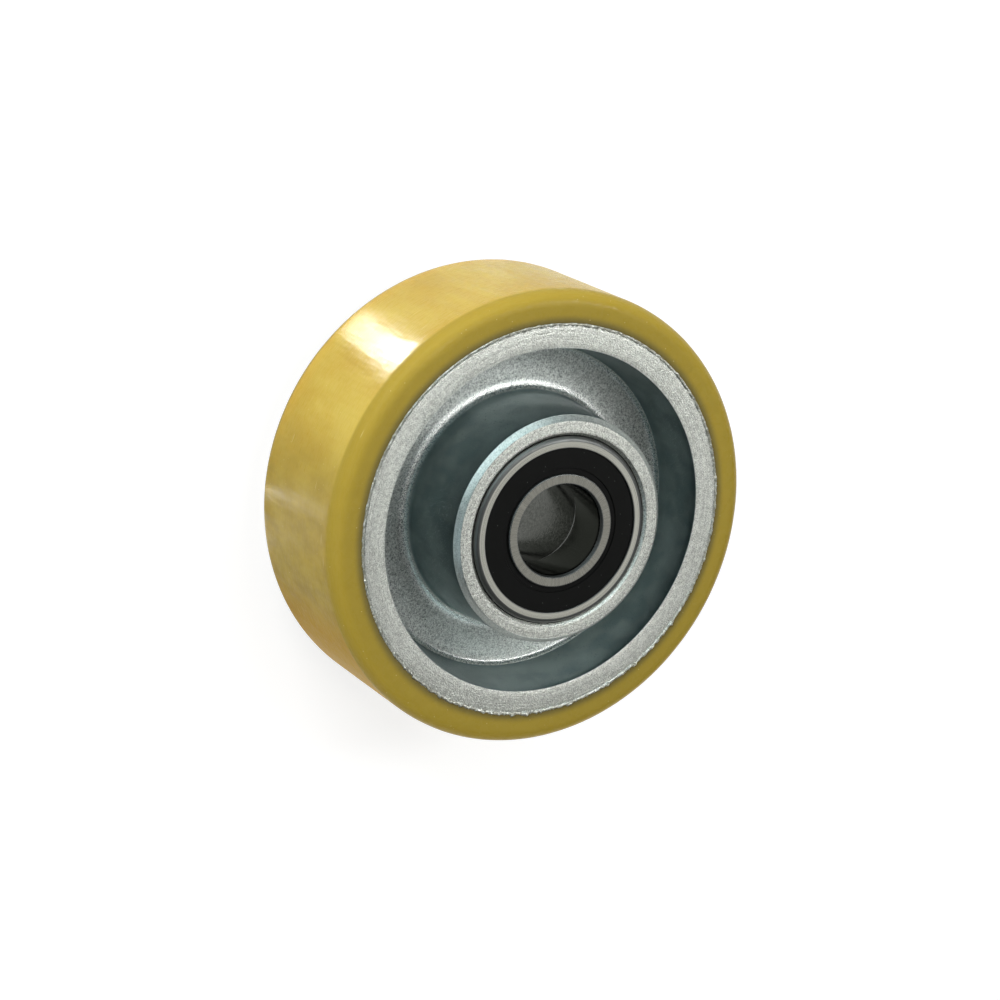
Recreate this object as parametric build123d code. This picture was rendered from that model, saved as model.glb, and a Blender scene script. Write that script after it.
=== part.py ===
from build123d import *
import math
import os

# A polyurethane wheel, 127 mm across, on a cast iron core with two sealed ball bearings.
# It lies on its side. The wheel's axis is Z, its front face is up, and the origin is its centre.
# All sizes are in millimetres.

# Tyre: polyurethane, cast and bonded on the rim
tyre_diameter = 127.0
tyre_width = 46.0
tyre_thickness = 8.8
tyre_shoulder_radius = 4.3

# Core: rim, web and hub in one casting, the same on both sides
rim_thickness = 6.65
rim_draft = 7.0
web_thickness = 11.0
web_fillet = 2.5
barrel_fillet = 3.0
fillet_share = 0.45
length_over_bearings = 63.0
hub_wall = 5.6
hub_draft = 2.5
hub_edge_chamfer = 1.45
hub_mouth_chamfer = 1.0
hub_shoulder_height = 2.8
hub_seat_fillet = 0.6

# Ball bearing: 25 x 52 x 15 mm, deep groove, sealed on both sides
bearing_bore = 25.0
bearing_diameter = 52.0
bearing_width = 15.0
bearing_proud = 0.25
bearing_corner_radius = 1.35
bore_chamfer = 0.6
bore_chamfer_length = 1.3
ring_edge_radius = 0.25
ring_mouth_radius = 0.125
ball_count = 9
ball_diameter = 7.938
ball_clearance = 0.06
raceway_depth = 1.95
inner_raceway_ratio = 0.515
outer_raceway_ratio = 0.53

# Bearing seals: moulded rubber, snapped into the outer ring, with a thin lip by the inner ring
seal_recess = 0.5
seal_thickness = 1.5
seal_disc_thickness = 1.2
seal_seat_height = 1.95
seal_seat_lip = 0.4
seal_step_height = 1.47
seal_step_gap = 0.3
seal_lip_clearance = 0.1
seal_lip_thickness = 0.5
seal_lip_reach = 0.7
seal_lip_depth = 0.35
seal_edge_offset = 1.7
seal_edge_slope = 0.15

# Ball cage: two pressed steel halves, riveted together between the balls
cage_sheet = 0.6
cage_side_clearance = 0.4
pocket_clearance = 0.12
rivet_diameter = 1.3
rivet_head_diameter = 2.2
rivet_head_height = 0.5
rivet_hole_clearance = 0.02

# Spacer tube: steel, between the two inner rings
spacer_bore_clearance = 1.0
spacer_wall = 2.5
spacer_end_chamfer = 0.4

# Sizes worked out from the ones above
tyre_radius = tyre_diameter / 2
rim_radius = tyre_radius - tyre_thickness
rim_mouth_radius = rim_radius - rim_thickness
half_width = tyre_width / 2
half_web = web_thickness / 2
half_length = length_over_bearings / 2
half_hub = half_length - bearing_proud
bearing_radius = bearing_diameter / 2
bore_radius = bearing_bore / 2
hub_radius = bearing_radius + hub_wall
hub_hollow_radius = bearing_radius - hub_shoulder_height
seat_height = half_length - bearing_width
bearing_height = half_length - bearing_width / 2
half_bearing = bearing_width / 2

ball_radius = ball_diameter / 2
pitch_radius = (bore_radius + bearing_radius) / 2
inner_raceway_radius = inner_raceway_ratio * ball_diameter
outer_raceway_radius = outer_raceway_ratio * ball_diameter
inner_raceway_floor = pitch_radius - ball_radius - ball_clearance
outer_raceway_floor = pitch_radius + ball_radius + ball_clearance
inner_land_radius = inner_raceway_floor + raceway_depth
outer_land_radius = outer_raceway_floor - raceway_depth

inner_end_radius = inner_land_radius - seal_step_height
seal_seat_radius = outer_land_radius + seal_seat_height
seal_mouth_radius = seal_seat_radius - seal_seat_lip
seal_front = half_bearing - seal_recess
seal_back = seal_front - seal_thickness
seal_disc_back = seal_front - seal_disc_thickness
inner_step_height = seal_back - seal_step_gap

cage_inner_radius = inner_land_radius + cage_side_clearance
cage_outer_radius = outer_land_radius - cage_side_clearance
pocket_radius = ball_radius + pocket_clearance
ball_angles = [360 / ball_count * i for i in range(ball_count)]
rivet_angles = [angle + 180 / ball_count for angle in ball_angles]

spacer_bore_radius = bore_radius + spacer_bore_clearance
spacer_radius = spacer_bore_radius + spacer_wall


def turned(outline, rounds=()):
    """Turn a closed outline of (radius, height) edges about Z, with some corners rounded."""
    face = make_face(outline)
    for (radius, height), corner_radius in rounds:
        corner = face.vertices().sort_by_distance(Vector(radius, height))[0]
        face = fillet(corner, corner_radius)
    return revolve(Plane.XZ * face, axis=Axis.Z)


def mirrored(upper):
    """A closed outline from its upper half, a list of (radius, height) points."""
    lower = [(radius, -height) for radius, height in reversed(upper)]
    return Polyline(*upper, *lower, close=True)


def both_sides(radius, height):
    """A point of the upper half and its mirror image below."""
    return [(radius, height), (radius, -height)]


def around(radius, angles):
    """Locations at a radius about Z, one for each angle."""
    return [Rot(0, 0, angle) * Pos(radius, 0, 0) for angle in angles]


def make_tyre():
    shoulder = (tyre_radius, half_width)
    outline = mirrored([(rim_radius, half_width), shoulder])
    return turned(outline, [(point, tyre_shoulder_radius) for point in both_sides(*shoulder)])


def make_core():
    """Rim, web and hub, drafted towards both mouths, with a bored seat for each bearing."""
    rim_foot = rim_mouth_radius - (half_width - half_web) * math.tan(math.radians(rim_draft))
    hub_edge_height = half_hub - hub_edge_chamfer
    hub_foot = hub_radius + (hub_edge_height - half_web) * math.tan(math.radians(hub_draft))
    upper = [
        (rim_radius, half_width),
        (rim_mouth_radius, half_width),
        (rim_foot, half_web),
        (hub_foot, half_web),
        (hub_radius, hub_edge_height),
        (hub_radius - hub_edge_chamfer, half_hub),
        (bearing_radius + hub_mouth_chamfer, half_hub),
        (bearing_radius, half_hub - hub_mouth_chamfer),
        (bearing_radius, seat_height),
        (hub_hollow_radius, seat_height),
    ]
    largest_fillet = fillet_share * min(rim_foot - hub_foot, half_width - half_web)
    rounds = []
    for foot, foot_fillet in ((rim_foot, web_fillet), (hub_foot, barrel_fillet)):
        limited = min(foot_fillet, largest_fillet)
        rounds += [(point, limited) for point in both_sides(foot, half_web)]
    rounds += [(point, hub_seat_fillet) for point in both_sides(bearing_radius, seat_height)]
    return turned(mirrored(upper), rounds)


def make_spacer():
    inner_edge = spacer_bore_radius + spacer_end_chamfer
    outer_edge = spacer_radius - spacer_end_chamfer
    edge_height = seat_height - spacer_end_chamfer
    return turned(mirrored([
        (spacer_bore_radius, edge_height),
        (inner_edge, seat_height),
        (outer_edge, seat_height),
        (spacer_radius, edge_height),
    ]))


def groove_half_width(land_radius, floor_radius, raceway_radius):
    """Half the width of a raceway where it meets the land."""
    centre = floor_radius + math.copysign(raceway_radius, land_radius - floor_radius)
    return math.sqrt(raceway_radius ** 2 - (land_radius - centre) ** 2)


def make_ring(land_radius, floor_radius, raceway_radius, upper, rounds):
    """A bearing ring about its own middle plane, from the points above its raceway."""
    half_groove = groove_half_width(land_radius, floor_radius, raceway_radius)
    upper = [(land_radius, half_groove)] + upper
    lower = [(radius, -height) for radius, height in reversed(upper)]
    rim = Polyline(*upper, *lower)
    groove = ThreePointArc(lower[-1], (floor_radius, 0), upper[0])
    corners = [(point, radius) for place, radius in rounds for point in both_sides(*place)]
    return turned([rim, groove], corners)


def make_outer_ring():
    upper = [
        (outer_land_radius, seal_back),
        (seal_seat_radius, seal_back),
        (seal_seat_radius, seal_front),
        (seal_mouth_radius, seal_front),
        (seal_mouth_radius, half_bearing),
        (bearing_radius, half_bearing),
    ]
    rounds = [
        ((bearing_radius, half_bearing), bearing_corner_radius),
        ((seal_mouth_radius, half_bearing), ring_mouth_radius),
    ]
    return make_ring(outer_land_radius, outer_raceway_floor, outer_raceway_radius, upper, rounds)


def make_inner_ring():
    upper = [
        (inner_land_radius, inner_step_height),
        (inner_end_radius, inner_step_height),
        (inner_end_radius, half_bearing),
        (bore_radius + bore_chamfer, half_bearing),
        (bore_radius, half_bearing - bore_chamfer_length),
    ]
    rounds = [((inner_end_radius, half_bearing), ring_edge_radius)]
    return make_ring(inner_land_radius, inner_raceway_floor, inner_raceway_radius, upper, rounds)


def make_seal():
    """The outboard seal: a bead in the outer ring's seat, a disc, and a thin lip below its edge."""
    lip_radius = inner_end_radius + seal_lip_clearance
    lip_root = lip_radius + seal_lip_reach
    disc_edge = inner_end_radius + seal_edge_offset
    lip_top = seal_front - seal_lip_depth
    return turned(Polyline(
        (seal_seat_radius, seal_front),
        (disc_edge, seal_front),
        (disc_edge - seal_edge_slope, lip_top),
        (lip_radius, lip_top),
        (lip_radius, lip_top - seal_lip_thickness),
        (lip_root, seal_disc_back),
        (outer_land_radius - cage_side_clearance, seal_disc_back),
        (outer_land_radius, seal_back),
        (seal_seat_radius, seal_back),
        close=True,
    ))


def band(inner_radius, outer_radius, height):
    """A flat ring standing on the middle plane."""
    disc = Circle(outer_radius) - Circle(inner_radius)
    return extrude(disc, height)


def make_cage_half():
    """The upper half of the cage: flat tabs, a rounded pocket over each ball, rivet holes."""
    pocket_top = pocket_radius + cage_sheet
    reach = band(cage_inner_radius, cage_outer_radius, pocket_top)
    ball_places = around(pitch_radius, ball_angles)
    half = band(cage_inner_radius, cage_outer_radius, cage_sheet)
    half += [reach & (place * Sphere(pocket_top)) for place in ball_places]
    half -= [place * Sphere(pocket_radius) for place in ball_places]
    hole = Cylinder(rivet_diameter / 2 + rivet_hole_clearance, 2 * pocket_top)
    half -= [place * hole for place in around(pitch_radius, rivet_angles)]
    return half


def make_rivet():
    """One rivet: a shank through both sheets, with a rounded head on each side."""
    shank = rivet_diameter / 2
    head = rivet_head_diameter / 2
    head_top = cage_sheet + rivet_head_height
    dome_radius = (head ** 2 + rivet_head_height ** 2) / (2 * rivet_head_height)
    upper = Polyline((0, head_top), (0, 0), (shank, 0), (shank, cage_sheet), (head, cage_sheet))
    dome = RadiusArc((head, cage_sheet), (0, head_top), -dome_radius)
    half = turned([upper, dome])
    return half + mirror(half, about=Plane.XY)


def make_bearing():
    """Every piece of one bearing about its own centre, with its outboard side up."""
    seal = make_seal()
    cage_half = make_cage_half()
    rivet = make_rivet()
    pieces = {
        "outer_ring": make_outer_ring(),
        "inner_ring": make_inner_ring(),
        "outer_seal": seal,
        "inner_seal": mirror(seal, about=Plane.XY),
        "cage_outer": cage_half,
        "cage_inner": mirror(cage_half, about=Plane.XY),
        "cage_rivets": Compound([place * rivet for place in around(pitch_radius, rivet_angles)]),
    }
    for number, place in enumerate(around(pitch_radius, ball_angles), start=1):
        pieces[f"ball_{number}"] = place * Sphere(ball_radius)
    return pieces


pieces = {
    "tyre": make_tyre(),
    "wheel_core": make_core(),
    "spacer_tube": make_spacer(),
}
bearing = make_bearing()
sides = {
    "front": Pos(0, 0, bearing_height),
    "rear": Pos(0, 0, -bearing_height) * Rot(180, 0, 0),
}
for side, place in sides.items():
    for name, piece in bearing.items():
        pieces[f"{side}_{name}"] = place * piece

os.makedirs("parts", exist_ok=True)
for name, piece in pieces.items():
    export_step(piece, f"parts/{name}.step")
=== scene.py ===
import cmath
import math

import bpy
import numpy as np
from mathutils import Matrix, Vector, noise


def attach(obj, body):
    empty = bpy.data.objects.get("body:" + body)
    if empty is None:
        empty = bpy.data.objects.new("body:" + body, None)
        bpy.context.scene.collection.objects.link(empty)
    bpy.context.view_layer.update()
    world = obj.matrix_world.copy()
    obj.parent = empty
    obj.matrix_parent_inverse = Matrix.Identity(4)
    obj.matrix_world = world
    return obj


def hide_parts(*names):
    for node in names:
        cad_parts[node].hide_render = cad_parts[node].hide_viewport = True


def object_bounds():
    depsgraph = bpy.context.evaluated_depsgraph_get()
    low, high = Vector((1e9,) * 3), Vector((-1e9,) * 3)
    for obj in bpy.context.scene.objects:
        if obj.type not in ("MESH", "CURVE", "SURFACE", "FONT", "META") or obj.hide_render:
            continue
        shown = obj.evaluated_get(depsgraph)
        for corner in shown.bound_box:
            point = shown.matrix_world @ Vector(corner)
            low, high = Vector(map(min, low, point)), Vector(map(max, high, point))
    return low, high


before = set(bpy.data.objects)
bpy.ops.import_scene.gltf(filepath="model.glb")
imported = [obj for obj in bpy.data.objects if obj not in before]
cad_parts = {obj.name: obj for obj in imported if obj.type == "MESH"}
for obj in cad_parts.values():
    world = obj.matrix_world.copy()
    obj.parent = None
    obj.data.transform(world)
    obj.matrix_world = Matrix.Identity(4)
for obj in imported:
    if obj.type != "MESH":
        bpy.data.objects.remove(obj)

cad_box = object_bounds()
MM = 0.001


def heading(degrees):
    """The level direction at an azimuth."""
    angle = math.radians(degrees)
    return (math.cos(angle), math.sin(angle), 0)


# The camera is on the wheel's -Y side and looks down on its front face.
camera_lens_mm = 101.33
camera_sensor_mm = 36
camera_distance = 776.67
camera_elevation = 56.477
camera_roll = -119.264
camera_aim = (0.697, -0.968, 0)

# Lamps: name, azimuth and elevation, distance, size, power, colour, and the rays that don't see them
white = (1, 1, 1)
lamps = [
    ("key", (-112, 24), 700, (300, 300), 4.0, white, "visible_glossy"),
    ("shine", (-123, 29), 700, (1050, 340), 3.0, (0.78, 0.96, 1.0), "visible_diffuse"),
    ("window", (152, 52), 1100, (300, 300), 3.8, white, None),
    ("panel", (100, 57), 1300, (900, 900), 2.1, white, None),
    ("high", (-154, 64), 1100, (350, 350), 2.1, white, None),
    ("sky", (-40, 35), 1100, (300, 300), 0.8, (0.7, 0.9, 1.0), None),
    ("fill", (14, 5), 700, (300, 300), 1.9, (1.0, 0.93, 0.8), "visible_glossy"),
]

# The pale reflections on the tread come from low lamps beside it: azimuth, radius, turn, size, power.
strips = [
    (-113.3, 79, -113.3, (17, 13), 0.0102),
    (-113.8, 91, -113.8, (15, 16), 0.0395),
    (-139, 78, -139, (40, 54), 0.00136),
    (-57.3, 80.2, -43.4, (26, 2.5), 0.00163),
    (-48, 80, -48, (34, 12), 0.00095),
]
strip_clearance = 0.5
strip_spread = 130

# The floor, in metres, and the world, whose strength falls as a direction climbs from 0.05 to 0.13
floor_size = 8
floor_grey = (0.38, 0.38, 0.38, 1)
floor_glow = 0.76
horizon = (0.05, 0.13)
horizon_strength = 1.0
ceiling_strength = 0.1

# Sizes of the core in millimetres, the same on both sides of its middle plane
rim_radius = 54.7
rim_mouth_radius = 48.05
rim_foot_radius = 45.9
half_width = 23
half_web = 5.5
web_fillet = 2.5
barrel_fillet = 3
hub_foot_radius = 32.66
hub_radius = 31.6
hub_edge_height = 29.8
hub_face_radius = 30.15
half_hub = 31.25
seat_mouth_radius = 27
seat_mouth_height = 30.25
seat_radius = 26
seat_height = 16.5
seat_fillet = 0.6
hollow_radius = 23.2
small_edge = 0.2

# Sizes of the tyre in millimetres
tyre_radius = 63.5
shoulder_radius = 4.3
shoulder_start = half_width - shoulder_radius

# The bearings in millimetres: the bore, and where the flat face of each ring lies
bore_radius = 12.5
outer_ring_face = (23.1, 24.6)
inner_ring_face = (13.3, 15.4)

# The tread is scratched and stained on the worn side, where painted shade makes the stains darker, and more
# orange and duller on the aged one.
worn_direction = heading(-52)
aged_direction = heading(-12)

# The ragged lip on the rim's edge is largest on this side.
burr_direction = np.array(heading(38)[:2])

# How finely the meshes are cut: steps round the axis, and millimetres along the outline
tyre_segments = 720
core_segments = 480
burr_segments = 1440
tyre_spacing = 0.9
core_fine_spacing = 0.75
core_coarse_spacing = 2.25

# Unevenness of the surfaces, as (height, size of the waves) in millimetres
cast_lumps = ((0.07, 4.0), (0.04, 1.7))
core_sway = ((0.04, 14.0),)
tyre_dents = ((0.02, 9.0), (0.008, 2.5))
tyre_inset = 0.03
burr_rags = ((1, 1.4), (0.8, 0.6))
burr_crumbs = ((1, 0.5), (0.6, 1.3))


# Outlines

def unit(step):
    return step / abs(step)


def rounded(corners, fine, coarse):
    """Points of a closed outline in millimetres, as (radius, height, turned, cast) rows.

    A corner is (radius, height, rounding, finish), and its finish holds for the run after it.
    Points are fine mm apart round the corners and on cast runs, and coarse mm apart elsewhere."""
    places = [complex(radius, height) for radius, height, *_ in corners]
    arcs = []
    for i, here in enumerate(places):
        back = unit(places[i - 1] - here)
        on = unit(places[(i + 1) % len(places)] - here)
        half_angle = abs(cmath.phase(on / back)) / 2
        rounding = corners[i][2]
        centre = here + unit(back + on) * rounding / math.sin(half_angle)
        start = here + back * rounding / math.tan(half_angle)
        end = here + on * rounding / math.tan(half_angle)
        arcs.append((start, end, centre))
    rows = []
    for i, (start, end, centre) in enumerate(arcs):
        turn = cmath.phase((end - centre) / (start - centre))
        before = np.array(corners[i - 1][3])
        after = np.array(corners[i][3])
        pieces = max(3, math.ceil(abs(turn * (start - centre)) / fine))
        for share in np.linspace(0, 1, pieces + 1):
            place = centre + (start - centre) * cmath.exp(1j * turn * share)
            reach = min(max(3 * share - 1, 0), 1)
            rows.append((place.real, place.imag, *(before + (after - before) * reach)))
        run = arcs[(i + 1) % len(arcs)][0] - end
        pieces = max(1, math.ceil(abs(run) / (fine if after[1] else coarse)))
        for share in np.linspace(0, 1, pieces + 1)[1:-1]:
            place = end + run * share
            rows.append((place.real, place.imag, *after))
    return np.array(rows)


def both_sides(front):
    """The corners of a whole outline, from those of its front half."""
    rear = []
    for i, (radius, height, rounding, _) in reversed(list(enumerate(front))):
        finish = front[i - 1][3] if i else front[-1][3]
        rear.append((radius, -height, rounding, finish))
    return front + rear


# The finish of a run: how far it is turned, and how far it is cast
PLAIN = (0, 0)
TURNED = (1, 0)
CAST = (0, 1)
BEVEL = (0.5, 0)


def core_outline():
    front = [
        (hollow_radius, seat_height, small_edge, PLAIN),
        (seat_radius, seat_height, seat_fillet, TURNED),
        (seat_radius, seat_mouth_height, small_edge, TURNED),
        (seat_mouth_radius, half_hub, small_edge, TURNED),
        (hub_face_radius, half_hub, 0.25, BEVEL),
        (hub_radius, hub_edge_height, 0.3, PLAIN),
        (hub_foot_radius, half_web, barrel_fillet, CAST),
        (rim_foot_radius, half_web, web_fillet, PLAIN),
        (rim_mouth_radius, half_width, 0.25, TURNED),
        (rim_radius, half_width, 0.15, PLAIN),
    ]
    return rounded(both_sides(front), core_fine_spacing, core_coarse_spacing)


def tyre_outline():
    bonded_edge = 0.1
    corners = [
        (rim_radius, -half_width, bonded_edge, PLAIN),
        (tyre_radius, -half_width, shoulder_radius, PLAIN),
        (tyre_radius, half_width, shoulder_radius, PLAIN),
        (rim_radius, half_width, bonded_edge, PLAIN),
    ]
    return rounded(corners, tyre_spacing, tyre_spacing)


def burr_outline(side):
    """A thin rough edge that the turning left where the rim's face meets the tyre."""
    corners = [
        (rim_radius - 0.8, half_width - 0.1),
        (rim_radius, half_width - 0.1),
        (rim_radius + 0.05, half_width - 0.02),
        (rim_radius, half_width + 0.02),
        (rim_radius - 0.35, half_width + 0.01),
        (rim_radius - 0.8, half_width - 0.03),
    ]
    return np.array([(radius, side * height, *TURNED) for radius, height in corners])


# Unevenness, as the distance in millimetres by which each point moves out of its surface

def waves(points, size):
    """Smooth noise from about -1 to 1 at each point, in waves of about that size."""
    return np.array([noise.noise(Vector(point) / size) for point in points])


def uneven(points, layers):
    """Waves of several sizes, each as high as its layer says."""
    return sum(height * waves(points, size) for height, size in layers)


def crests(points, layers):
    """The upper halves of the waves only, with flat ground between them."""
    return sum(height * np.maximum(waves(points, size), 0) for height, size in layers)


def core_relief(points, rows):
    """Lumps on the cast web, and a slow sway wherever nothing was turned."""
    turned, cast = rows[:, 2], rows[:, 3]
    outside = rows[:, 0] > seat_radius + 1
    return cast * uneven(points, cast_lumps) + (1 - turned) * uneven(points, core_sway) * outside


def tyre_relief(points, rows):
    """Dents all over the tyre, but for the face that is bonded to the iron."""
    bonded = rows[:, 0] < rim_radius + 0.2
    return np.where(bonded, 0, uneven(points, tyre_dents) - tyre_inset)


def burr_relief(points, rows):
    """Crumbs all round, and on one side a ragged lip over the tyre."""
    toward = points[:, :2] @ burr_direction / np.linalg.norm(points[:, :2], axis=1)
    share = np.clip(0.3 + 0.7 * toward, 0.25, 1)
    lip = (0.05 + 0.85 * share) * crests(points, burr_rags)
    crumbs = (0.15 + 0.2 * share) * crests(points, burr_crumbs)
    outer = rows[:, 0] >= rim_radius
    buried = np.abs(rows[:, 1]) < half_width - 0.05
    return np.where(outer, lip, np.where(buried, 0, crumbs))


# Meshes

def turning_sense(outline):
    """1 where an outline of (radius, height) runs anticlockwise, and -1 where it runs clockwise."""
    radius, height = outline[:, 0], outline[:, 1]
    return math.copysign(1, np.sum(radius * np.roll(height, -1) - np.roll(radius, -1) * height))


def outward_steps(outline):
    """The direction out of the solid at each point of its outline."""
    along = np.roll(outline, -1, 0)[:, :2] - np.roll(outline, 1, 0)[:, :2]
    outward = np.stack([along[:, 1], -along[:, 0]], 1)
    outward /= np.linalg.norm(outward, axis=1)[:, None]
    return outward * turning_sense(outline)


def turned_points(radius, height, turn):
    return np.stack([radius * np.cos(turn), radius * np.sin(turn), height], 1)


def ring_faces(segments, count):
    """The four corners of each face, in a grid of points that closes on itself both ways."""
    step = np.arange(segments)[:, None] * count
    step_on = (np.arange(segments)[:, None] + 1) % segments * count
    here = np.arange(count)[None, :]
    here_on = (here + 1) % count
    corners = [step + here, step_on + here, step_on + here_on, step + here_on]
    return np.stack(corners, -1).reshape(-1, 4)


def ring_mesh(name, outline, segments, relief, body, material):
    """A solid ring: an outline turned about Z, with its surface moved out or in by relief, in mm."""
    turn = np.repeat(np.linspace(0, 2 * math.pi, segments, endpoint=False), len(outline))
    rows = np.tile(outline, (segments, 1))
    outward = np.tile(outward_steps(outline), (segments, 1))
    lift = relief(turned_points(rows[:, 0], rows[:, 1], turn), rows)
    points = turned_points(rows[:, 0] + outward[:, 0] * lift, rows[:, 1] + outward[:, 1] * lift, turn)
    faces = ring_faces(segments, len(outline))
    if turning_sense(outline) > 0:
        faces = faces[:, ::-1]
    mesh = bpy.data.meshes.new(name)
    mesh.from_pydata((points * MM).tolist(), [], faces.tolist())
    for column, finish in enumerate(("turned", "cast"), start=2):
        layer = mesh.attributes.new(finish, "FLOAT", "POINT")
        layer.data.foreach_set("value", rows[:, column].astype(np.float32))
    mesh.shade_smooth()
    mesh.materials.append(material)
    piece = bpy.data.objects.new(name, mesh)
    bpy.context.scene.collection.objects.link(piece)
    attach(piece, body)
    return piece


# Shader nodes

class Shader:
    """The nodes of a material or a world, added one call at a time."""

    def __init__(self, owner, surface="Principled BSDF"):
        owner.use_nodes = True
        self.material = owner
        self.tree = owner.node_tree
        self.surface = self.tree.nodes[surface]

    def add(self, kind, inputs=None, **settings):
        made = self.tree.nodes.new("ShaderNode" + kind)
        for key, value in settings.items():
            setattr(made, key, value)
        for key, value in (inputs or {}).items():
            self.feed(made.inputs[key], value)
        return made

    def feed(self, socket, value):
        if isinstance(value, bpy.types.NodeSocket):
            self.tree.links.new(value, socket)
        else:
            socket.default_value = value

    def set(self, **inputs):
        for key, value in inputs.items():
            self.feed(self.surface.inputs[key.replace("_", " ")], value)

    def calc(self, operation, first, second=0.0):
        return self.add("Math", {0: first, 1: second}, operation=operation).outputs[0]

    def times(self, first, second):
        return self.calc("MULTIPLY", first, second)

    def total(self, *pairs):
        """The sum of some values, each multiplied by the weight that follows it."""
        first, *others = [self.times(value, weight) for value, weight in pairs]
        for other in others:
            first = self.calc("ADD", first, other)
        return first

    def band(self, value, low, high, bottom=0.0, top=1.0):
        """A value brought smoothly from bottom to top as it goes from low to high."""
        inputs = {"Value": value, "From Min": low, "From Max": high, "To Min": bottom, "To Max": top}
        return self.add("MapRange", inputs, interpolation_type="SMOOTHSTEP").outputs[0]

    def between(self, value, rise, fall):
        """1 in a stretch of a value, with a band to 1 at either end of it and 0 beyond."""
        return self.times(self.band(value, *rise), self.band(value, *fall))

    def mix(self, share, first, second):
        """A number between two, by share."""
        return self.add("Mix", {0: share, 2: first, 3: second}).outputs[0]

    def blend(self, share, first, second):
        """A colour between two, by share."""
        made = self.add("Mix", data_type="RGBA")
        self.feed(made.inputs[0], share)
        for socket, value in ((made.inputs[6], first), (made.inputs[7], second)):
            self.feed(socket, (*value, 1) if isinstance(value, tuple) else value)
        return made.outputs[2]

    def cover(self, colour, *layers):
        """A colour under layers of (share, colour), each one over those before it."""
        for share, over in layers:
            colour = self.blend(share, colour, over)
        return colour

    def place(self, stretch=(1, 1, 1)):
        """Object coordinates in millimetres, each axis multiplied by its stretch."""
        coordinates = self.add("TexCoord").outputs["Object"]
        scale = tuple(share / MM for share in stretch)
        return self.add("VectorMath", {0: coordinates, 1: scale}, operation="MULTIPLY").outputs[0]

    def parts(self):
        """The radius and the height of a point in millimetres, and its direction (x, y over radius)."""
        x, y, z = self.add("SeparateXYZ", {0: self.place()}).outputs
        level = self.add("CombineXYZ", {0: x, 1: y}).outputs[0]
        radius = self.add("VectorMath", {0: level}, operation="LENGTH").outputs["Value"]
        spoke = self.add("VectorMath", {0: level}, operation="NORMALIZE").outputs[0]
        return radius, z, spoke

    def toward(self, spoke, direction):
        """How far a point's direction agrees with another, from -1 to 1."""
        return self.add("VectorMath", {0: spoke, 1: direction}, operation="DOT_PRODUCT").outputs["Value"]

    def rings(self, radius, spacing):
        """Coordinates for marks that run round the axis, spacing mm apart, and drift a little."""
        drift = (0.02, 0.02, 0.02)
        away = self.times(radius, 1 / spacing)
        across = self.add("SeparateXYZ", {0: self.place(drift)}).outputs
        return self.add("CombineXYZ", {0: away, 1: across[0], 2: across[1]}).outputs[0]

    def spokes(self, spoke, radius, count):
        """Coordinates for marks that run along a radius or along the axis."""
        scaled = self.add("VectorMath", {0: spoke, 1: (count, count, 0)}, operation="MULTIPLY").outputs[0]
        across = self.add("SeparateXYZ", {0: scaled}).outputs
        away = self.times(radius, 0.1)
        return self.add("CombineXYZ", {0: across[0], 1: across[1], 2: away}).outputs[0]

    def noise(self, vector, scale=1.0, detail=2.0, roughness=0.5):
        inputs = {"Vector": vector, "Scale": scale, "Detail": detail, "Roughness": roughness}
        return self.add("TexNoise", inputs).outputs["Fac"]

    def cells(self, vector, scale=1.0):
        return self.add("TexVoronoi", {"Vector": vector, "Scale": scale}).outputs["Distance"]

    def flecks(self, vector, scale=1.0, reach=0.07):
        """Small spots, one about the middle of each cell."""
        return self.band(self.cells(vector, scale), reach, 0.03)

    def attribute(self, name):
        return self.add("Attribute", attribute_name=name).outputs["Fac"]

    def bump(self, height, depth_mm, under=None):
        inputs = {"Height": height, "Distance": depth_mm * MM}
        if under:
            inputs["Normal"] = under
        return self.add("Bump", inputs).outputs[0]


# Colours of the polyurethane
amber_deep = (0.53, 0.36, 0.05)
amber_pale = (0.61, 0.46, 0.085)
rear_orange = (0.70, 0.40, 0.04)
stain_and_shade_brown = (0.35, 0.245, 0.035)
aged_orange = (0.52, 0.29, 0.02)
# Darker shoulders and side faces: painted shade.
shaded_shoulder_amber = (0.39, 0.285, 0.042)
shaded_side_amber = (0.335, 0.245, 0.036)
iron_showing_and_shade = (0.12, 0.10, 0.04)
fleck_cream = (0.86, 0.74, 0.36)


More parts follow.
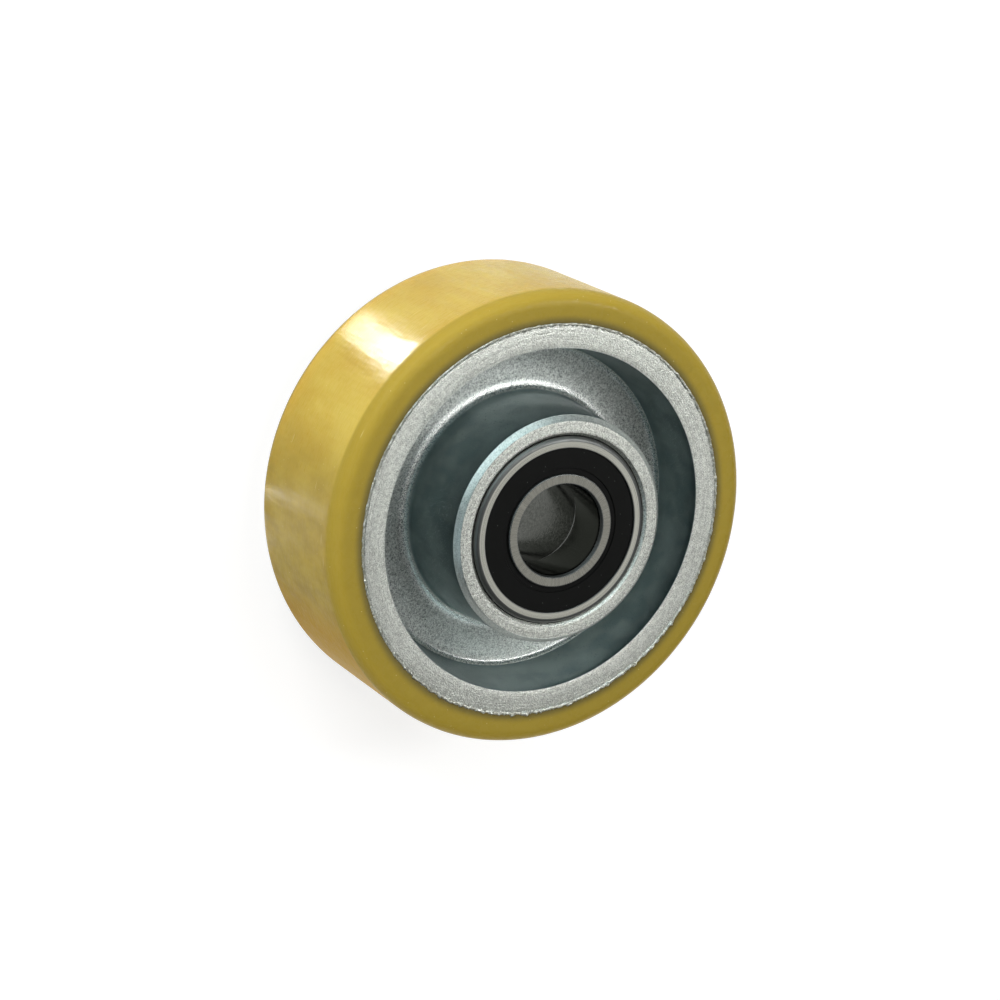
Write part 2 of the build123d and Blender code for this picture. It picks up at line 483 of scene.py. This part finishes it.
def make_polyurethane():
    """Amber cast polyurethane: glossy, a little clear, with streaks and specks, stains that painted shade
    makes darker, painted shade on its shoulders and side faces, and a dark edge by the iron that is partly
    painted shade.
    """
    shader = Shader(bpy.data.materials.new("polyurethane"))
    radius, height, spoke = shader.parts()

    # Where each finish lies, and where shade is painted
    worn = shader.band(shader.toward(spoke, worn_direction), 0.82, 0.98)
    aged = shader.band(shader.toward(spoke, aged_direction), 0.85, 0.97)
    rear = shader.band(height, -12, -23, 0.0, 0.5)
    side = shader.band(shader.calc("ABSOLUTE", height), shoulder_start - 0.2, shoulder_start + 1.0)
    flat = shader.band(radius, tyre_radius - 1, tyre_radius - shoulder_radius)
    # Darker by the iron: the iron showing through the thin edge, and painted shade at the join.
    by_iron = shader.band(radius, rim_radius + 2.8, rim_radius, 0.0, 0.88)
    blots = shader.noise(shader.place((0.16, 0.16, 0.1)), detail=6, roughness=0.6)
    # Brown stains on the worn side, made darker as painted shade.
    stains_and_shade = shader.times(worn, shader.band(blots, 0.3, 0.7, 0.55, 0.95))
    specks = shader.flecks(shader.place(), 0.45, 0.075)
    scratches = shader.flecks(shader.place((0.035, 0.035, 0.6)))
    flaws = shader.times(shader.calc("MAXIMUM", specks, scratches), 0.5)

    # Colour
    clouds = shader.noise(shader.place((0.05, 0.05, 0.03)), detail=3)
    streaks = shader.noise(shader.place((0.3, 0.3, 0.06)), detail=4)
    tone = shader.total((clouds, 0.7), (streaks, 0.3))
    colour = shader.cover(
        shader.blend(shader.band(tone, 0.35, 0.65), amber_deep, amber_pale),
        (rear, rear_orange),
        (stains_and_shade, stain_and_shade_brown),
        (shader.times(aged, 0.7), aged_orange),
        (side, shaded_shoulder_amber),
        (flat, shaded_side_amber),
        (by_iron, iron_showing_and_shade),
        (flaws, fleck_cream),
    )

    # Gloss and relief
    scuffs = shader.noise(shader.place((0.35, 0.35, 3.5)), detail=5, roughness=0.6)
    gloss = shader.band(scuffs, 0.35, 0.65, 0.18, 0.42)
    tread = shader.calc("SUBTRACT", 1.0, side)
    dull = shader.times(shader.total((worn, 0.1), (aged, 0.16)), tread)
    ripple = shader.noise(shader.place((0.2, 0.2, 0.05)), detail=2)
    normal = shader.bump(ripple, 0.35)
    normal = shader.bump(shader.calc("ADD", scuffs, flaws), 0.013, normal)
    shader.set(Base_Color=colour, Roughness=shader.calc("ADD", gloss, dull), Normal=normal, IOR=1.5)
    shader.set(Specular_IOR_Level=0.07, Subsurface_Weight=0.1)
    shader.set(Subsurface_Radius=(1.0, 0.6, 0.15), Subsurface_Scale=3 * MM)
    return shader.material


# Colours of the plated iron: each finish goes from the first to the second.
# The smooth walls are bluish zinc, made darker as painted shade of the recesses.
wall_zinc_and_shade_tones = ((0.22, 0.285, 0.29), (0.30, 0.365, 0.37))
cast_tones = ((0.26, 0.272, 0.255), (0.80, 0.82, 0.775))
# Lighter tones on the fillet crests, partly a painted highlight.
crest_highlight_tones = ((0.54, 0.56, 0.54), (0.88, 0.90, 0.86))
face_tones = ((0.40, 0.412, 0.372), (0.87, 0.895, 0.825))
grime_brown = (0.30, 0.28, 0.19)
gap_shade_black = (0.02, 0.02, 0.02)

# The bright crests of the cast fillets, whose lighter colour is partly a painted highlight, as the radii
# where each rises and where it falls
hub_crest = ((32.8, 33.4), (36.3, 34.4))
rim_crest = ((44.5, 45.1), (46.0, 45.85))


def make_plated_iron():
    """Zinc-plated iron: turned faces that glint, a rough cast web, smooth walls made darker by painted
    shade, fillet crests made lighter partly by a painted highlight, and painted shade in the bearing seat.
    """
    shader = Shader(bpy.data.materials.new("plated_iron"))
    radius, _, _ = shader.parts()
    turned = shader.attribute("turned")
    cast = shader.attribute("cast")
    place = shader.place()
    grain = shader.noise(place, 3.0, detail=4, roughness=0.7)
    blotches = shader.noise(place, 0.9, detail=4, roughness=0.6)
    facets = shader.cells(place, 2.4)
    lines = shader.noise(shader.rings(radius, 0.35), detail=3, roughness=0.6)
    tint = shader.noise(place, 0.12, detail=2)

    # Where each finish lies, and where shade is painted
    crest = shader.calc("ADD", shader.between(radius, *hub_crest), shader.between(radius, *rim_crest))
    near_edge = shader.band(radius, rim_radius - 1, rim_radius - 0.2)
    grime = shader.times(near_edge, shader.band(blotches, 0.64, 0.40))
    # Painted shade: the bearing seat's wall and the gap at its mouth are black.
    gap_shade = shader.band(radius, seat_radius + 0.3, seat_radius + 0.1)

    # Colour
    cast_tone = shader.total((grain, 0.8), (blotches, 0.2))
    face_tone = shader.total((grain, 0.6), (lines, 0.17), (blotches, 0.23))
    speckle = shader.band(cast_tone, 0.38, 0.62)
    colour = shader.cover(
        shader.blend(shader.band(tint, 0.35, 0.65), *wall_zinc_and_shade_tones),
        (cast, shader.blend(speckle, *cast_tones)),
        (crest, shader.blend(speckle, *crest_highlight_tones)),
        (turned, shader.blend(shader.band(face_tone, 0.40, 0.60), *face_tones)),
        (shader.times(grime, 0.6), grime_brown),
        (gap_shade, gap_shade_black),
    )

    # Gloss and relief
    roughness = shader.band(grain, 0.3, 0.7, 0.26, 0.42)
    roughness = shader.calc("SUBTRACT", roughness, shader.times(crest, 0.06))
    calm = shader.calc("SUBTRACT", 1.0, shader.times(crest, 0.5))
    coarse = shader.times(shader.calc("MAXIMUM", cast, 0.1), calm)
    normal = shader.bump(shader.times(cast_tone, coarse), 0.27)
    edge = shader.band(radius, rim_radius - 0.7, rim_radius - 0.2, 1.0, 2.0)
    marks = shader.calc("ADD", lines, shader.calc("ADD", shader.times(facets, edge), grain))
    normal = shader.bump(shader.times(marks, turned), 0.075, normal)
    shader.set(Base_Color=colour, Metallic=1.0, Roughness=roughness, Normal=normal)
    return shader.material


# Colours of the ring steel off its end faces, darker there as painted shade
shaded_ring_edge_steel = (0.14, 0.145, 0.14)
# The bore is darker as painted shade.
shaded_bore_steel = (0.2, 0.21, 0.19)


def make_ring_steel(name, dark, light, face, across):
    """Ground bearing steel, smooth in the bore. Its end faces have marks round or across them; its edges
    and bore are darker as painted shade.
    """
    shader = Shader(bpy.data.materials.new(name))
    radius, _, spoke = shader.parts()
    place = shader.spokes(spoke, radius, 40) if across else shader.rings(radius, 0.15)
    marks = shader.noise(place, detail=3, roughness=0.6)
    near, far = face
    flat = shader.between(radius, (near - 0.1, near + 0.1), (far + 0.1, far - 0.1))
    bore = shader.band(radius, bore_radius + 0.3, bore_radius + 0.1)
    colour = shader.blend(shader.band(marks, 0.3, 0.7), dark, light)
    colour = shader.blend(flat, shaded_ring_edge_steel, colour)
    colour = shader.blend(bore, colour, shaded_bore_steel)
    rough = shader.mix(flat, 0.45, shader.band(marks, 0.3, 0.7, 0.22, 0.36))
    smooth = shader.band(marks, 0.4, 0.6, 0.1, 0.16)
    eased = shader.add("Bevel", {"Radius": 0.25 * MM}, samples=4).outputs[0]
    normal = shader.bump(shader.times(marks, flat), 0.008, eased)
    shader.set(Base_Color=colour, Metallic=1.0, Normal=normal, Roughness=shader.mix(bore, rough, smooth))
    return shader.material


# Colours of the seals
rubber_tones = ((0.0015, 0.0018, 0.0015), (0.004, 0.004, 0.0035))
dust_grey = (0.10, 0.11, 0.10)


def make_seal_rubber():
    """Black moulded rubber with a fine matt grain and a little dust."""
    shader = Shader(bpy.data.materials.new("seal_rubber"))
    grain = shader.noise(shader.place(), 5.0, detail=3)
    clouds = shader.noise(shader.place(), 0.3, detail=2)
    dust = shader.flecks(shader.place(), 0.55)
    colour = shader.cover(shader.blend(clouds, *rubber_tones), (dust, dust_grey))
    shader.set(Base_Color=colour, Roughness=shader.band(clouds, 0.3, 0.7, 0.42, 0.6))
    shader.set(Normal=shader.bump(grain, 0.02), Specular_IOR_Level=0.12)
    return shader.material


def make_plain_steel(name, dark, light, roughness):
    """Steel for the pieces that the seals hide and for the tube, with a fine even finish."""
    shader = Shader(bpy.data.materials.new(name))
    grain = shader.noise(shader.place(), 1.5, detail=4)
    colour = shader.blend(shader.band(grain, 0.3, 0.7), dark, light)
    shader.set(Base_Color=colour, Metallic=1.0, Normal=shader.bump(grain, 0.01))
    shader.set(Roughness=shader.band(grain, 0.3, 0.7, roughness, roughness + 0.1))
    return shader.material


# The camera, the floor, the world and the lamps

def make_camera():
    """Looks at camera_aim from the -Y side, then rolls about its line of sight."""
    data = bpy.data.cameras.new("camera")
    data.lens = camera_lens_mm
    data.sensor_width = camera_sensor_mm
    camera = bpy.data.objects.new("camera", data)
    elevation = math.radians(camera_elevation)
    place = Vector((0, -math.cos(elevation), math.sin(elevation))) * camera_distance * MM
    aim = Vector(camera_aim) * MM
    level = (place - aim).to_track_quat("Z", "Y").to_matrix()
    roll = Matrix.Rotation(math.radians(-camera_roll), 3, "Z")
    camera.matrix_world = Matrix.Translation(place) @ (level @ roll).to_4x4()
    bpy.context.scene.collection.objects.link(camera)
    bpy.context.scene.camera = camera


def make_world():
    """A white horizon under a dimmer ceiling."""
    world = bpy.data.worlds.new("studio")
    bpy.context.scene.world = world
    shader = Shader(world, "Background")
    direction = shader.add("TexCoord").outputs["Generated"]
    upward = shader.add("SeparateXYZ", {0: direction}).outputs[2]
    strength = shader.band(upward, *horizon, horizon_strength, ceiling_strength)
    shader.set(Color=(1, 1, 1, 1), Strength=strength)


def make_floor():
    """A matt floor that keeps the wheel's shadow and shows white to the camera and in reflections."""
    bpy.ops.mesh.primitive_plane_add(size=floor_size, location=(0, 0, cad_box[0].z))
    floor = bpy.context.object
    floor.name = "floor"
    shader = Shader(bpy.data.materials.new("floor"))
    path = shader.add("LightPath").outputs
    seen = shader.calc("MAXIMUM", path["Is Camera Ray"], path["Is Glossy Ray"])
    seen = shader.calc("MAXIMUM", seen, path["Is Transmission Ray"])
    shader.set(Base_Color=floor_grey, Roughness=1.0, Specular_IOR_Level=0.0)
    shader.set(Emission_Color=(1, 1, 1, 1), Emission_Strength=shader.times(seen, floor_glow))
    floor.data.materials.append(shader.material)


def make_lamp(name, direction, distance, size, power, colour=white):
    """A rectangular lamp that shines on the wheel, from an azimuth and elevation in degrees."""
    azimuth, elevation = (math.radians(angle) for angle in direction)
    flat = distance * math.cos(elevation)
    place = Vector((flat * math.cos(azimuth), flat * math.sin(azimuth), distance * math.sin(elevation)))
    data = bpy.data.lights.new(name, "AREA")
    data.shape = "RECTANGLE"
    data.size, data.size_y = (side * MM for side in size)
    data.energy = power
    data.color = colour
    lamp = bpy.data.objects.new(name, data)
    lamp.location = place * MM
    lamp.rotation_euler = place.to_track_quat("Z", "Y").to_euler()
    bpy.context.scene.collection.objects.link(lamp)
    return lamp


def make_lamps():
    """The lamps round the wheel, some of them for the gloss alone and some for all but it."""
    for *settings, unseen in lamps:
        lamp = make_lamp(*settings)
        if unseen:
            setattr(lamp, unseen, False)


def make_strips():
    """Low lamps beside the wheel, which only show as the pale reflections on its tread."""
    for azimuth, radius, turn, size, power in strips:
        strip = make_lamp("strip", (azimuth, 0), radius, size, power)
        strip.location.z = cad_box[0].z + strip_clearance * MM
        strip.rotation_euler = (math.pi, 0, math.radians(turn))
        strip.data.spread = math.radians(strip_spread)
        strip.visible_camera = False
        strip.visible_diffuse = False


def paint(node, material):
    """Gives a CAD node a better material."""
    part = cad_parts[node]
    part.data.materials.clear()
    part.data.materials.append(material)


bpy.context.scene.view_settings.view_transform = "Standard"
make_camera()
make_world()
make_floor()
make_lamps()
make_strips()

polyurethane = make_polyurethane()
plated_iron = make_plated_iron()
tyre = ring_mesh(
    "cast_tyre", tyre_outline(), tyre_segments, tyre_relief, "wheel", polyurethane)
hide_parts("tyre")
core = ring_mesh(
    "cast_core", core_outline(), core_segments, core_relief, "wheel", plated_iron)
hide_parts("wheel_core")
for name, side in (("front_burr", 1), ("rear_burr", -1)):
    ring_mesh(name, burr_outline(side), burr_segments, burr_relief, "wheel", plated_iron)

# The materials of the other nodes, by a word that is in their names
outer_tones = ((0.33, 0.33, 0.29), (0.50, 0.50, 0.44))
inner_tones = ((0.20, 0.197, 0.172), (0.285, 0.28, 0.245))
ball_tones = ((0.6, 0.6, 0.6), (0.7, 0.7, 0.7))
cage_tones = ((0.4, 0.39, 0.36), (0.52, 0.51, 0.48))
# The tube is darker than its steel, as painted shade inside the bore.
shaded_tube_tones = ((0.08, 0.085, 0.075), (0.15, 0.155, 0.14))
finishes = {
    "outer_ring": make_ring_steel("outer_ring_steel", *outer_tones, outer_ring_face, False),
    "inner_ring": make_ring_steel("inner_ring_steel", *inner_tones, inner_ring_face, True),
    "seal": make_seal_rubber(),
    "ball_": make_plain_steel("ball_steel", *ball_tones, 0.05),
    "cage": make_plain_steel("cage_steel", *cage_tones, 0.3),
    "spacer_tube": make_plain_steel("tube_steel", *shaded_tube_tones, 0.12),
}
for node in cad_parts:
    for word, material in finishes.items():
        if word in node:
            paint(node, material)
